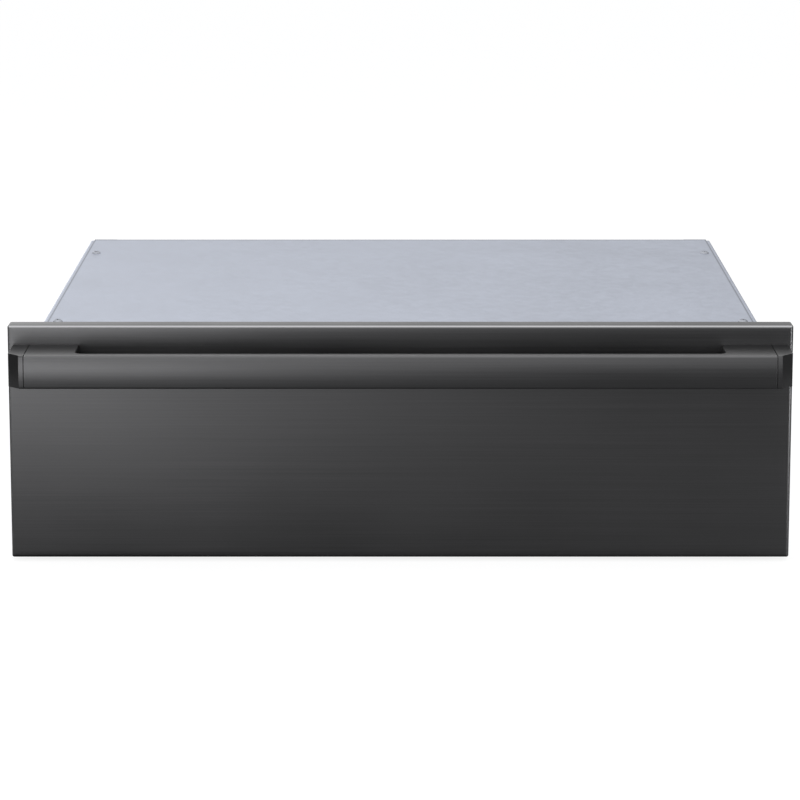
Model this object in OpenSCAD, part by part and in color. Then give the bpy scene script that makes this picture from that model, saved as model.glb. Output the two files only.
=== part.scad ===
// Built-in warming drawer: a folded-sheet chassis, a heated cavity, and a
// deep drawer that runs out on two full-extension ball-bearing slides.
// Millimetres. +X is the user's right, -Y is the front, +Z is up.
// The origin is the middle of the object's footprint, on the surface it stands on.

/* [Front panel] */
// Width of the front panel
panel_w = 759; // [740:1:780]
// Height of the front panel
panel_h = 230; // [228:1:240]
// Thickness of the front panel, skin and liner together
panel_t = 21; // [20:0.5:26]
// Height of the panel's lower edge above the base
panel_lift = 4; // [3:0.5:8]
// Radius of the folds round the panel's face
panel_fold_r = 3; // [2:0.5:4]
// Thickness of the panel's outer skin
skin_t = 1.5; // [1:0.1:2]

/* [Handle] */
// Length of the handle over its end caps
handle_w = 748.4; // [720:0.2:756]
// How far the handle stands out from the panel
handle_depth = 62; // [50:1:70]
// Height of the handle
handle_h = 32; // [28:1:36]
// Distance from the panel's top edge down to the handle's top
handle_drop = 19; // [16:0.5:30]
// Length of the finger slot behind the grip
slot_w = 621; // [500:1:640]
// Thickness of the grip in front of the finger slot
grip_t = 14.5; // [12:0.5:20]
// Radius of the finger slot's front corners
slot_r = 8; // [4:1:12]
// Radius of the grip's bowed front face
grip_bow_r = 66; // [50:1:120]
// Radius of the rounded edges above and below the bowed face
grip_edge_r = 2.2; // [1:0.1:4]
// Width of each end cap
cap_w = 15.8; // [15:0.1:20]
// Width of the end cap's bevel, across the drawer
cap_bevel_w = 11.4; // [6:0.1:13]
// Depth of the end cap's bevel, front to back
cap_bevel_d = 16.4; // [8:0.1:30]

/* [Chassis] */
// Width of the chassis
chassis_w = 700; // [690:1:710]
// Height of the chassis, to the top of its cover
chassis_h = 230; // [229:1:240]
// Depth of the chassis
chassis_d = 564; // [550:1:600]
// Gap between the closed front panel and the chassis
front_gap = 4; // [3.5:0.5:6]
// Thickness of the chassis sheet
sheet = 1.2; // [1:0.1:1.5]
// Width of the flanges that screw to the cabinet
flange_w = 18; // [16:1:20]
// Distance from the chassis' side to the edge of the top cover
cover_inset = 5; // [3:0.5:8]
// Depth of the recess that the rear panel sits in
rear_recess = 10; // [9:0.5:14]

/* [Drawer] */
// Travel of the drawer
travel = 440; // [420:5:440]
// Outer width of the pan
pan_w = 640; // [600:2:642]
// Outer length of the pan
pan_d = 474; // [420:2:480]
// Depth of the pan below its rim
pan_h = 124; // [100:1:126]
// Height of the pan's rim above the base
rim_z = 178; // [174:0.5:180]
// Radius of the pan's upright corners
pan_corner_r = 28; // [22:1:36]
// Radius between the pan's walls and its floor
pan_floor_r = 20; // [14:1:21]

/* [Slides] */
// Height of the slides' middle line above the base
slide_z = 120; // [115:1:125]
// Number of balls in each row
row_balls = 10; // [6:1:10]

/* [Heater] */
// Radius of the heating element's sheath
sheath_r = 4; // [3:0.5:4.5]
// Distance between the element's long runs
run_pitch = 140; // [110:5:150]

/* [Hidden] */
$fn = 48;

// Finishes
graphite = [0.23, 0.23, 0.235];
galvanised = [0.74, 0.77, 0.82];
stainless = [0.72, 0.72, 0.73];
zinc = [0.62, 0.63, 0.65];
black_plastic = [0.06, 0.06, 0.065];
ceramic_white = [0.92, 0.9, 0.86];
glass_fibre = [0.93, 0.9, 0.72];

// Front to back
total_d = handle_depth + panel_t + front_gap + chassis_d;
y_grip = -total_d / 2;
y_panel = y_grip + handle_depth;
y_liner = y_panel + panel_t;
y_front = y_liner + front_gap;
y_rear = y_front + chassis_d;
y_back_plate = y_rear - rear_recess - sheet;

// Bottom to top
panel_top = panel_lift + panel_h;
handle_top = panel_top - handle_drop;
handle_z = handle_top - handle_h;
cover_z = chassis_h - sheet;
flange_z = cover_z - sheet;
bottom_rail_h = 40;
top_rail_z = 190;
top_rail_lip = 26;
liner_z = 200.8;

// Side to side
half_w = chassis_w / 2;
wall_x = half_w - sheet;
side_lip = 28;
rear_lip = 15;
fold_r = 2.4;
flange_span = [8, 222];
slack = 0.15;

// Chassis fasteners and the rivets of the slides
cover_screw_x = half_w - 15;
cover_screw_front = 21;
cover_screw_rear = 102;
screw_r = 1.9;
screw_hole_r = 2.05;
cabinet_hole_r = 2.5;
cabinet_hole_z = [45, 185];
rear_screw_z = [30, 115, 200];
rivet_y = [-190, 0, 190];
rivet_r = 1.95;

// Slides, a little longer than their travel: u runs from the chassis' wall towards the drawer,
// w up from the middle line
slide_l = travel + 60;
slide_t = 12.7;
member_t = 1.2;
outer_ball = [5.6, 19.8];
inner_ball = [8.8, 14.75];
outer_groove_r = 2.05;
inner_groove_r = 1.8;
ball_play = 0.15;
cage_t = 0.8;
cage_web_t = 0.6;
outer_cage_u = 1.7;
inner_cage_u = 4.9;
ball_pitch = 20;
slide_y = y_front + 2;
middle_l = slide_l - 20;
cage_l = row_balls * ball_pitch;

// Drawer frame
rail_x = wall_x - slide_t;
rail_z = slide_z - 22;
rail_lip = 14;
rail_foot = 7;
rail_screw_z = [110, 165];
rear_rail_z = 120;
pan_t = 1.2;
pan_y = y_liner + 10.5;
rim_lip = 9.5;
pan_floor_z = rim_z - pan_h;
rear_rail_y = pan_y + pan_d + 7.5;

// Controls, and the opening for them in the front top rail
control_half = 85;
control_z = [196, 222];
box_half = control_half + 10;
box_y = [y_front + 3, y_front + 58];
lens_half = 26;
lens_z = [202, 216];
button_x = [-66, -42, 42, 66];
button_w = 16;
button_h = 10;
button_z = 209;
button_proud = 1.3;
button_travel = 1;
button_back = 5;
fascia_t = 2;
board_y = y_front + 9;
board_t = 1.6;
bumper_x = 300;
bumper_z = [21, 208];
bumper_stem_r = 2.4;

// Moisture vent
vent_z = 159;
vent_pitch = 20;
vent_count = 7;
vent_slot = [6, 10];
shutter_gap = 0.3;
shutter_travel = 10;
shutter_t = 1;
rivet_x = 78;
pan_front_y = pan_y + pan_t;

// Heater
element_z = 30;
run_x = [-1.5, -0.5, 0.5, 1.5] * run_pitch;
bend_front_y = -110;
bend_rear_y = 170;
terminal_y = 280;
spade_y = [terminal_y + 10, terminal_y + 21];
spade_t = 0.8;
tray_z = 16;
tray_rim_z = 25;
thermostat_x = 60;
thermostat_z = 110;
thermostat_tab = 4;
sensor_x = -120;
sensor_z = 190;
sensor_r = 2.5;
terminal_z = [72, 92];
terminal_pitch = 15;
terminal_pocket_z = terminal_z[0] + 8;
terminal_screw_z = terminal_z[0] + 14;

// Cord entry
gland_x = 270;
gland_z = 46;
gland_bore_r = 5.5;

// The range that reaches half to each side of m
function about(m, half) = [m - half, m + half];

// A block from its ranges along X, Y and Z
module block(x, y, z) {
  translate([x[0], y[0], z[0]]) cube([x[1] - x[0], y[1] - y[0], z[1] - z[0]]);
}

// A child and its twin on the other side of the drawer
module both_sides() {
  children();
  mirror([1, 0, 0]) children();
}

// A profile drawn as (y, z), run along X and centred on the drawer
module run_x(length) {
  rotate([90, 0, 90]) linear_extrude(height = length, center = true) children();
}

// A profile drawn as (x, z), run along Y from y0
module run_y(y0, length) {
  translate([0, y0 + length, 0]) rotate([90, 0, 0]) linear_extrude(height = length) children();
}

// A rod or a hole along Y, from y0 to y1
module rod_y(x, z, y0, y1, r) {
  translate([x, y0, z]) rotate([-90, 0, 0]) cylinder(r = r, h = y1 - y0);
}

// A rod or a hole along X, from x0 to x1
module rod_x(y, z, x0, x1, r) {
  translate([x0, y, z]) rotate([0, 90, 0]) cylinder(r = r, h = x1 - x0);
}

// A rectangle with rounded corners, from p to q
module rounded(p, q, r) {
  translate([p[0] + r, p[1]]) square([q[0] - p[0] - 2 * r, q[1] - p[1]]);
  translate([p[0], p[1] + r]) square([q[0] - p[0], q[1] - p[1] - 2 * r]);
  for (x = [p[0] + r, q[0] - r], y = [p[1] + r, q[1] - r]) translate([x, y]) circle(r);
}

// A round-ended slot through a plate that faces Y, from x0 to x1
module slot_y(x0, x1, z, y0, y1, r) {
  block([x0 + r, x1 - r], [y0, y1], [z - r, z + r]);
  for (x = [x0 + r, x1 - r]) rod_y(x, z, y0, y1, r);
}

// A round-ended slot through a plate that faces X, from y0 to y1
module slot_x(y0, y1, z, x0, x1, r) {
  block([x0, x1], [y0 + r, y1 - r], [z - r, z + r]);
  for (y = [y0 + r, y1 - r]) rod_x(y, z, x0, x1, r);
}

// A rectangle from the origin whose corner there is a fold of radius r
module fold_corner(w, h, r) {
  difference() {
    square([w, h]);
    difference() {
      translate([-1, -1]) square(r + 1);
      translate([r, r]) circle(r);
    }
  }
}

// A sheet folded once at the origin, with its legs along +x and +y
module folded_sheet(w, h, t, r) {
  difference() {
    fold_corner(w, h, r);
    translate([t, t]) fold_corner(w, h, r - t);
  }
}

// A sheet channel with its back on y = 0, open towards +y
module channel(z0, z1, lower_lip, upper_lip, t) {
  translate([0, z0]) folded_sheet(lower_lip, (z1 - z0) / 2 + 1, t, 2 * t);
  translate([0, z1]) mirror([0, 1]) folded_sheet(upper_lip, (z1 - z0) / 2 + 1, t, 2 * t);
}

// A sheet folded along Z at (x, y), with one leg towards the middle of the drawer and one towards +Y
module upright_fold(x, y, span, inner_leg, y_leg)
  translate([x, y, span[0]]) linear_extrude(height = span[1] - span[0])
    mirror([1, 0]) folded_sheet(inner_leg, y_leg, sheet, fold_r);

// A wire along a route of straight stretches at right angles, with a round bend at each corner
module wire(route, r, bend_r) {
  last = len(route) - 1;
  for (i = [0 : last - 1]) {
    d = route[i + 1] - route[i];
    a = d / norm(d);
    p = route[i] + (i > 0 ? bend_r : 0) * a;
    q = route[i + 1] - (i < last - 1 ? bend_r : 0) * a;
    turn = a[0] != 0 ? [0, 90 * a[0], 0] : a[1] != 0 ? [-90 * a[1], 0, 0] : [a[2] > 0 ? 0 : 180, 0, 0];
    translate(p) rotate(turn) cylinder(r = r, h = norm(q - p));
    if (i < last - 1) {
      b = (route[i + 2] - route[i + 1]) / norm(route[i + 2] - route[i + 1]);
      n = cross(-b, a);
      c = q + bend_r * b;
      multmatrix([[-b[0], a[0], n[0], c[0]], [-b[1], a[1], n[1], c[1]], [-b[2], a[2], n[2], c[2]],
                  [0, 0, 0, 1]])
        rotate_extrude(angle = 90) translate([bend_r, 0]) circle(r);
    }
  }
}

// ---- Chassis ----

// A stiffening bead pressed up out of the base
module base_bead(shrink) {
  lift = 3.5 - shrink;
  half = 280 - shrink;
  run_x(2 * half) polygon([[-9 + shrink, -1], [-9 + shrink, 0], [-5 + shrink / 2, lift],
                           [5 - shrink / 2, lift], [9 - shrink, 0], [9 - shrink, -1]]);
}

// The base, with its sides and rear folded up
module base_pan() color(galvanised) {
  edge = wall_x - sheet;
  upstand = 20;
  bead_y = [-150, -25, 100, 225];
  difference() {
    union() {
      block([-edge + fold_r, edge - fold_r], [y_front, y_back_plate - fold_r], [0, sheet]);
      both_sides() translate([wall_x, 0, 0]) run_y(y_front, y_back_plate - y_front)
        mirror([1, 0]) folded_sheet(upstand, upstand, sheet, fold_r);
      run_x(2 * edge) translate([y_back_plate, 0])
        mirror([1, 0]) folded_sheet(upstand, upstand, sheet, fold_r);
      for (y = bead_y) intersection() {
        translate([0, y, sheet]) base_bead(0);
        block([-half_w, half_w], [y_front, y_rear], [0, 20]);
      }
    }
    for (y = bead_y) translate([0, y, 0]) base_bead(sheet / 2);
  }
}

// A side of the chassis: folded in over the cavity, folded out at the front to meet
// the cabinet, and with an angle welded inside its rear edge for the rear panel
module side_panel() color(galvanised) {
  difference() {
    union() {
      difference() {
        translate([half_w, 0, cover_z]) run_y(y_front, chassis_d)
          rotate(180) folded_sheet(side_lip, cover_z, sheet, fold_r);
        block([wall_x - 1, half_w + 1], [y_front - 1, y_front + fold_r], flange_span);
      }
      translate([wall_x, y_front, flange_span[0]]) linear_extrude(height = flange_span[1] - flange_span[0])
        folded_sheet(sheet + flange_w, 2 * fold_r, sheet, fold_r);
      upright_fold(wall_x, y_rear - rear_recess, flange_span, rear_lip - sheet, rear_recess);
    }
    for (z = cabinet_hole_z) rod_y(half_w + flange_w / 2, z, y_front - 1, y_front + 3, cabinet_hole_r);
    for (z = rear_screw_z) rod_y(half_w - 8, z, y_back_plate - 1, y_rear, screw_hole_r);
    for (y = [y_front + cover_screw_front, y_rear - cover_screw_rear])
      translate([cover_screw_x, y, flange_z - 1]) cylinder(r = screw_hole_r, h = 4);
    for (y = rivet_y) rod_x(y, slide_z, wall_x - 1, half_w + 1, 2);
    for (y = [120 : 38 : 272], z = [180, 192, 204])
      slot_x(y - 16, y + 16, z, half_w - 3, half_w + 1, 2);
  }
}

module left_side_panel() mirror([1, 0, 0]) side_panel();
module right_side_panel() side_panel();

module rear_panel() color(galvanised) {
  gap = 0.3;
  top = flange_z - gap;
  difference() {
    union() {
      block([-wall_x + gap, wall_x - gap], [y_back_plate, y_back_plate + sheet], [gap, top - fold_r]);
      both_sides() block([side_edge(), wall_x - gap], [y_back_plate, y_back_plate + sheet], [gap, top]);
      run_x(2 * side_edge()) translate([y_back_plate + sheet, top])
        rotate(180) folded_sheet(rear_lip, rear_lip, sheet, fold_r);
    }
    both_sides() for (z = rear_screw_z) rod_y(half_w - 8, z, y_back_plate - 1, y_rear, screw_hole_r);
    for (x = [-260 : 52 : 260], z = [150, 164, 178])
      slot_y(x - 18, x + 18, z, y_back_plate - 1, y_rear, 2.25);
    rod_y(gland_x, gland_z, y_back_plate - 1, y_rear, 10);
  }
}

// Inner edge of the side panels' top lips, less a little
function side_edge() = half_w - side_lip - 1;

module top_cover() color(galvanised) {
  lip_h = 9;
  difference() {
    union() {
      block([cover_inset - half_w, half_w - cover_inset], [y_front, y_rear - 1], [cover_z, chassis_h]);
      translate([0, y_rear, chassis_h]) run_x(2 * side_edge())
        rotate(180) folded_sheet(40, lip_h, sheet, fold_r);
      both_sides() block([side_edge() - 1, half_w - cover_inset], [y_rear - 2, y_rear], [cover_z, chassis_h]);
    }
    both_sides() for (y = [y_front + cover_screw_front, y_rear - cover_screw_rear])
      translate([cover_screw_x, y, cover_z - 1]) cylinder(r = screw_hole_r, h = 4);
  }
}

// A pan-head screw standing on z = 0, with a cross recess
module pan_screw(head_r, head_h, shank_r, shank_l) {
  dome_r = (head_r * head_r + head_h * head_h) / (2 * head_h);
  difference() {
    union() {
      intersection() {
        translate([0, 0, head_h - dome_r]) sphere(dome_r);
        cylinder(r = head_r - 0.2, h = head_h + 1);
      }
      translate([0, 0, -shank_l]) cylinder(r = shank_r, h = shank_l + 0.5);
    }
    for (a = [0, 90]) rotate(a)
      block(about(0, head_r * 0.55), about(0, 0.45), [head_h * 0.4, head_h * 1.4]);
  }
}

module top_cover_screws() color(zinc)
  both_sides() for (y = [y_front + cover_screw_front, y_rear - cover_screw_rear])
    translate([cover_screw_x, y, chassis_h]) pan_screw(5, 2.6, screw_r, 8);

module rear_panel_screws() color(zinc)
  both_sides() for (z = rear_screw_z)
    translate([half_w - 8, y_rear - rear_recess + sheet, z]) rotate([-90, 0, 0])
      pan_screw(4, 2.2, screw_r, 8);

module slide_rivets() color(zinc)
  both_sides() for (y = rivet_y) {
    translate([half_w, y, slide_z]) rotate([0, 90, 0]) intersection() {
      translate([0, 0, -6]) sphere(7.5);
      cylinder(r = 4.2, h = 2);
    }
    rod_x(y, slide_z, wall_x - member_t, half_w + 0.5, rivet_r);
  }

// The front cross member over the drawer, which carries the controls
module front_top_rail() color(galvanised) {
  difference() {
    translate([0, y_front, 0])
      run_x(2 * (wall_x - 1.5)) channel(top_rail_z, flange_z, 32, top_rail_lip, sheet);
    block(about(0, control_half), [y_front - 1, y_front + 3], control_z);
    both_sides() {
      rod_y(bumper_x, bumper_z[1], y_front - 1, y_front + 3, bumper_stem_r + 0.2);
      translate([cover_screw_x, y_front + cover_screw_front, flange_z - 3]) cylinder(r = screw_hole_r, h = 4);
    }
  }
}

module front_bottom_rail() color(galvanised) {
  difference() {
    translate([0, y_front, 0])
      run_x(2 * (wall_x - fold_r)) channel(sheet, bottom_rail_h, 18, 24, sheet);
    both_sides() rod_y(bumper_x, bumper_z[0], y_front - 1, y_front + 3, bumper_stem_r + 0.2);
  }
}

// Rubber stops that the closed drawer comes to rest against: a flange and a nose in front
// of the rail, and a stem with a barb that snaps in behind it
module front_bumpers() color(black_plastic)
  both_sides() for (z = bumper_z) {
    stem_end = y_front + 3.5;
    rod_y(bumper_x, z, y_front - 1.6, y_front, 7);
    rod_y(bumper_x, z, y_front - front_gap + 0.6, y_front - 1.5, 5.2);
    rod_y(bumper_x, z, y_front - 0.5, stem_end, bumper_stem_r);
    rod_y(bumper_x, z, y_front + sheet + 0.1, stem_end, bumper_stem_r + 1);
  }

// ---- Cavity, heater and wiring ----

// Bright sheet over the drawer, with turned-up sides that hang from the side panels
module cavity_liner() color(stainless) {
  y0 = y_front + 69;
  y1 = y_back_plate - 15;
  both_sides() translate([half_w - side_lip + 3, 0, liner_z]) run_y(y0, y1 - y0)
    mirror([1, 0]) folded_sheet(half_w - side_lip + 4, flange_z - liner_z, sheet, fold_r);
}

// A glass-fibre batt with softened edges
module batt(x, y, z) color(glass_fibre)
  hull() {
    block(x + [4, -4], y + [4, -4], z);
    block(x, y, z + [3, -3]);
  }

module top_insulation() batt([-320, 320], [y_front + 71, y_back_plate - 17], [liner_z + sheet, flange_z - 2]);
module bottom_insulation() batt([-330, 330], [y_front + 27, y_back_plate - 14], [5, 16]);
module front_insulation() batt([-318, 318], [y_panel + skin_t + 1, y_liner - 2.2], [14, 178]);

// A shallow tray with sloping sides and a flat rim, drawn by its inside grown outwards by t
module tray_body(t) {
  x = 292 + t;
  y = [y_front + 42 - t, y_back_plate - 53 + t];
  slope = 6;
  z = [tray_z + 1 - t, tray_rim_z + (t > 0 ? 0 : 1)];
  intersection() {
    run_x(2 * (x + slope)) polygon([[y[0], z[0]], [y[1], z[0]], [y[1] + slope, z[1]], [y[0] - slope, z[1]]]);
    run_y(y[0] - slope, y[1] - y[0] + 2 * slope)
      polygon([[-x, z[0]], [x, z[0]], [x + slope, z[1]], [-x - slope, z[1]]]);
  }
}

module reflector_tray() color(stainless) difference() {
  union() {
    tray_body(1);
    block([-303, 303], [y_front + 32, y_back_plate - 43], [tray_rim_z - 0.8, tray_rim_z]);
  }
  tray_body(0);
}

// The sheathed element: four long runs joined by three bends
module heating_element() color([0.2, 0.2, 0.21]) {
  bend_r = run_pitch / 2;
  translate([0, 0, element_z]) {
    for (x = run_x) {
      end = abs(x) > run_pitch ? terminal_y : bend_rear_y;
      rod_y(x, 0, bend_front_y, end, sheath_r);
    }
    for (x = [-run_pitch, run_pitch]) translate([x, bend_front_y, 0])
      rotate(180) rotate_extrude(angle = 180) translate([bend_r, 0]) circle(sheath_r);
    translate([0, bend_rear_y, 0]) rotate_extrude(angle = 180) translate([bend_r, 0]) circle(sheath_r);
  }
}

// Saddles that hold the element off the reflector: a foot, a folded leg and a ring open at the top
module element_clips() color(zinc) {
  foot_z = tray_z + 1;
  foot_top = foot_z + 1.2;
  ring_t = 1.4;
  for (x = run_x, y = [-60, 120]) difference() {
    union() {
      block(about(x, 9), about(y, 5), [foot_z, foot_top]);
      block(about(x, 4), about(y, 5), [foot_z, element_z - sheath_r]);
      rod_y(x, element_z, y - 5, y + 5, sheath_r + ring_t);
    }
    rod_y(x, element_z, y - 6, y + 6, sheath_r + 0.1);
    block(about(x, 2), about(y, 6), [element_z, element_z + 10]);
    block(about(x, 4 - sheet), about(y, 6), [foot_top, element_z - sheath_r - ring_t]);
  }
}

// Ceramic beads and spade terminals on the element's cold ends
module element_insulators() for (x = [run_x[0], run_x[3]]) {
  color(ceramic_white) difference() {
    union() {
      rod_y(x, element_z, terminal_y - 6, terminal_y + 10, 7);
      rod_y(x, element_z, terminal_y - 2, terminal_y + 3, 9);
    }
    rod_y(x, element_z, terminal_y - 7, terminal_y + 0.05, sheath_r + 0.1);
  }
  color(zinc) block(about(x, 3.1), spade_y, about(element_z, spade_t / 2));
}

// Snap-disc thermostat that cuts the heater off if the cavity overheats
module limit_thermostat() {
  x = thermostat_x;
  z = thermostat_z;
  cup_y = y_back_plate - 5;
  body_y = cup_y - 8;
  color(zinc) {
    rod_y(x, z, cup_y, y_back_plate, 10);
    block(about(x, 18), [y_back_plate - 1, y_back_plate], about(z, 5));
  }
  color(black_plastic) rod_y(x, z, body_y, cup_y, 8.5);
  color(zinc) for (dx = [-thermostat_tab, thermostat_tab])
    block(about(x + dx, spade_t / 2), [body_y - 8, body_y], about(z, 3));
}

// Probe that reads the cavity's temperature
module temperature_sensor() color(stainless) {
  tip_y = y_back_plate - 55;
  rod_y(sensor_x, sensor_z, tip_y, y_back_plate - 2, sensor_r);
  translate([sensor_x, tip_y, sensor_z]) sphere(sensor_r);
  rod_y(sensor_x, sensor_z, y_back_plate - 2, y_back_plate, 9);
}

// Three-way mains terminal block: a pocket for each wire, and a screw over it
module terminal_block() {
  face_y = y_back_plate - 20;
  ways = [for (i = [-1 : 1]) gland_x + i * terminal_pitch];
  color(ceramic_white) difference() {
    block(about(gland_x, 24), [face_y, y_back_plate], terminal_z);
    for (x = ways) {
      block(about(x, 5), [face_y - 1, face_y + 8], [terminal_z[0] - 2, terminal_pocket_z]);
      rod_y(x, terminal_screw_z, face_y - 1, face_y + 6, 3);
    }
  }
  color(zinc) for (x = ways) rod_y(x, terminal_screw_z, face_y + 2, face_y + 6, 2.6);
}

// Screw-in gland for the mains lead: a collar and a cone outside the rear panel, a nut inside it
module cord_gland() color(black_plastic) {
  inside = y_back_plate;
  outside = y_back_plate + sheet;
  difference() {
    union() {
      rod_y(gland_x, gland_z, inside - 12, outside + 5, 9.8);
      rod_y(gland_x, gland_z, outside, outside + 3, 13);
      translate([gland_x, outside + 3, gland_z]) rotate([-90, 0, 0]) cylinder(r1 = 11, r2 = 8.5, h = 6.6);
      translate([gland_x, inside - 6, gland_z]) rotate([-90, 0, 0]) cylinder(r = 14, h = 6, $fn = 6);
    }
    rod_y(gland_x, gland_z, inside - 13, y_rear + 1, gland_bore_r);
  }
}

// The sleeved bundle from the control board to the terminal block, held to the side
// panel by three saddles, and the leads of the element, the thermostat and the sensor
plug_x = 60;
harness_r = 3;
harness_x = 337;
harness_y = 302;
harness_z = 207;
lead_r = 1.2;
lead_y = terminal_y + 17;

module wiring_harness() color([0.12, 0.12, 0.13]) {
  turn_y = y_front + 65.5;
  drop_z = terminal_z[1] + 8;
  spade_top = element_z + spade_t / 2;
  tab_bottom = thermostat_z - 3;
  wire([[plug_x, board_y + 12, harness_z], [plug_x, turn_y, harness_z], [harness_x, turn_y, harness_z],
        [harness_x, harness_y, harness_z], [harness_x, harness_y, drop_z], [gland_x, harness_y, drop_z],
        [gland_x, harness_y, terminal_z[1]]], harness_r, 7);
  for (y = [-100, 60, 220]) block([harness_x, wall_x], about(y, 4), about(harness_z, 4.5));
  wire([[run_x[0], lead_y, spade_top], [run_x[0], lead_y, 62],
        [thermostat_x - thermostat_tab, lead_y, 62], [thermostat_x - thermostat_tab, lead_y, tab_bottom]],
       lead_r, 5);
  wire([[run_x[3], lead_y, spade_top], [run_x[3], lead_y, 54],
        [gland_x - terminal_pitch, lead_y, 54], [gland_x - terminal_pitch, lead_y, terminal_pocket_z]],
       lead_r, 5);
  wire([[thermostat_x + thermostat_tab, lead_y + 3, tab_bottom],
        [thermostat_x + thermostat_tab, lead_y + 3, 64], [gland_x, lead_y + 3, 64],
        [gland_x, lead_y + 3, terminal_pocket_z]], lead_r, 5);
  wire([[sensor_x, harness_y, sensor_z + sensor_r], [sensor_x, harness_y, harness_z],
        [harness_x, harness_y, harness_z]], lead_r, 5);
}

// ---- Controls behind the front panel ----

module control_box() color(galvanised) difference() {
  floor_z = top_rail_z + sheet;
  roof_z = flange_z - sheet;
  wall = 1;
  block(about(0, box_half), box_y, [floor_z, roof_z]);
  block(about(0, box_half - wall), [y_front, box_y[1] - wall], [floor_z + wall, roof_z - wall]);
  rod_y(plug_x, harness_z, box_y[1] - 8, box_y[1] + 1, harness_r + 0.5);
}

// The board, with a switch behind each button, the display in front, and the supply behind
module control_board() {
  back = board_y + board_t;
  color([0.05, 0.3, 0.12]) block(about(0, control_half + 1), [board_y, back], control_z);
  color(black_plastic) {
    for (x = button_x) {
      block(about(x, 3), [board_y - 1.6, board_y], about(button_z, 3));
      rod_y(x, button_z, y_front + button_back + button_travel + 0.1, board_y - 1.5, 1.6);
    }
    block(about(0, lens_half - 3), [board_y - 4, board_y], [lens_z[0] + 2, lens_z[1] - 2]);
    block(about(plug_x, 16), [back, board_y + 12], about(harness_z, 5));
  }
  color([0.1, 0.2, 0.5]) block(about(-60, 10), [back, back + 15.4], [200, 216]);
  color([0.8, 0.7, 0.1]) block(about(-16, 14), [back, back + 22.4], [199, 220]);
  color(zinc) rod_y(22, 209, back, back + 14.4, 6);
}

module control_fascia() color(black_plastic) {
  face_y = y_front - fascia_t;
  hole = [button_w / 2 + 0.3, button_h / 2 + 0.3];
  difference() {
    union() {
      translate([0, y_front, 0]) rotate([90, 0, 0]) linear_extrude(height = fascia_t)
        rounded([-control_half - 7, control_z[0] - 3], [control_half + 7, control_z[1] + 3], 4);
      block(about(0, control_half - 0.5), [y_front, y_front + 3], control_z + [0.5, -0.5]);
    }
    for (x = button_x) translate([x, y_front + 4, button_z]) rotate([90, 0, 0])
      linear_extrude(height = 8) rounded(-hole, hole, 3.3);
    block(about(0, lens_half), [face_y - 1, face_y + 1.2], lens_z);
    block(about(0, lens_half - 2), [face_y, y_front + 4], lens_z + [1.5, -1.5]);
  }
}

module display_lens() color([0.1, 0.1, 0.12])
  block(about(0, lens_half - 0.2), about(y_front - fascia_t + 0.5, 0.7), lens_z + [0.2, -0.2]);

// A push button: a rounded cap with a flange that holds it behind the fascia
module push_button(i) color([0.32, 0.32, 0.33]) {
  y0 = y_front - fascia_t - button_proud;
  y1 = y_front + button_back;
  translate([button_x[i], y1, button_z]) rotate([90, 0, 0]) linear_extrude(height = y1 - y0)
    rounded([-button_w / 2, -button_h / 2], [button_w / 2, button_h / 2], 3);
  block(about(button_x[i], button_w / 2 + 1.5), [y1 - 1.8, y1], about(button_z, button_h / 2 + 1.5));
}

module power_button() push_button(0);
module temperature_down_button() push_button(1);
module temperature_up_button() push_button(2);
module timer_button() push_button(3);

// ---- Ball-bearing slides ----

// Carries a profile drawn in slide coordinates (u, w) to the right-hand slide
module slide_run(y0, length)
  translate([wall_x, 0, slide_z]) mirror([1, 0, 0]) run_y(y0, length) children();

// The part of a ring between two angles, rolled round a ball's centre
module curl(c, r, from, to) {
  far = 3 * r;
  mid = (from + to) / 2;
  translate(c) intersection() {
    difference() {
      circle(r + member_t);
      circle(r);
    }
    polygon([[0, 0], far * [cos(from), sin(from)], far * [cos(mid), sin(mid)], far * [cos(to), sin(to)]]);
  }
}

// The upper half of a profile and its mirror image
module above_and_below() {
  children();
  mirror([0, 1]) children();
}

module outer_profile() {
  top = outer_ball[1] + outer_groove_r + member_t;
  translate([0, -top]) square([member_t, 2 * top]);
  above_and_below() {
    translate([0, top - member_t]) square([outer_ball[0], member_t]);
    curl(outer_ball, outer_groove_r, 20, 90);
  }
}

module middle_profile() {
  web_u = 3.4;
  top = outer_ball[1] - 1.85;
  translate([web_u, -top]) square([member_t, 2 * top]);
  above_and_below() {
    curl(outer_ball, outer_groove_r, 200, 340);
    curl(inner_ball, inner_groove_r, 20, 160);
    translate([web_u + 1, 16.65]) square([inner_ball[0] - web_u - 1, 0.95]);
  }
}

module inner_profile() {
  low = inner_ball[1] - inner_groove_r - member_t;
  translate([slide_t - member_t, -low]) square([member_t, 2 * low]);
  above_and_below() {
    translate([inner_ball[0], low]) square([slide_t - inner_ball[0], member_t]);
    curl(inner_ball, inner_groove_r, 200, 270);
  }
}

module slide_outer() color(zinc) difference() {
  slide_run(slide_y, slide_l) outer_profile();
  for (y = rivet_y) rod_x(y, slide_z, wall_x - 2, wall_x + 1, 2);
}

module slide_middle() color(zinc) difference() {
  slide_run(slide_y + 2, middle_l) middle_profile();
  for (y = [slide_y + 60 : 120 : slide_y + middle_l - 40]) rod_x(y, slide_z, wall_x - 6, wall_x - 3, 6);
}

module slide_inner() color(zinc) difference() {
  slide_run(slide_y, slide_l) inner_profile();
  for (y = rivet_y) rod_x(y, slide_z, rail_x - 1, rail_x + 2, screw_hole_r);
}

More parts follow.
